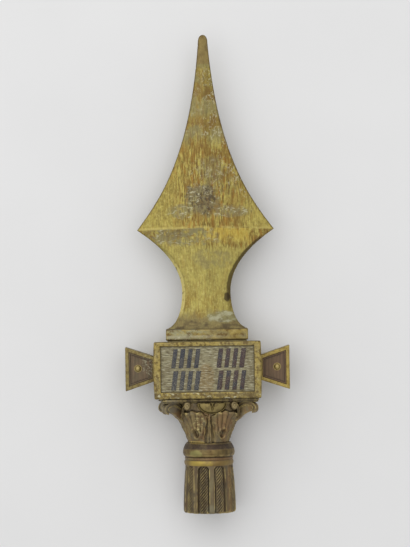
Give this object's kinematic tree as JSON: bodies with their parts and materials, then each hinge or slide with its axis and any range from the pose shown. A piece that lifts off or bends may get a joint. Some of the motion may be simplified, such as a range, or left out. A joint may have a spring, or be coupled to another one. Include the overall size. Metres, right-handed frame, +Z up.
{
  "type": "flagpole finial",
  "caption": "Cast brass spear-shaped flagpole finial with a framed tablet with dovetail ears, a leaf capital and a cable-fluted socket for the staff.",
  "frame": {"origin": "middle of the bounding box's underside: the finial lies on the tablet's back", "axes": "+Y along the finial's axis from the socket's mouth to the tip, +Z up out of the tablet's front, +X to the right of the front"},
  "size_m": [0.1136, 0.3314, 0.046],
  "materials": {
    "blade_brass": "worn, streaked with brown and grey patina",
    "tablet_brass": "worn bright frame round a painted, dirt-filled field",
    "socket_brass": "dark brown patina, bright where rubbed"
  },
  "bodies": {
    "root": {"spear_blade": "blade_brass", "tablet": "tablet_brass", "socket": "socket_brass"}
  },
  "joints": []
}
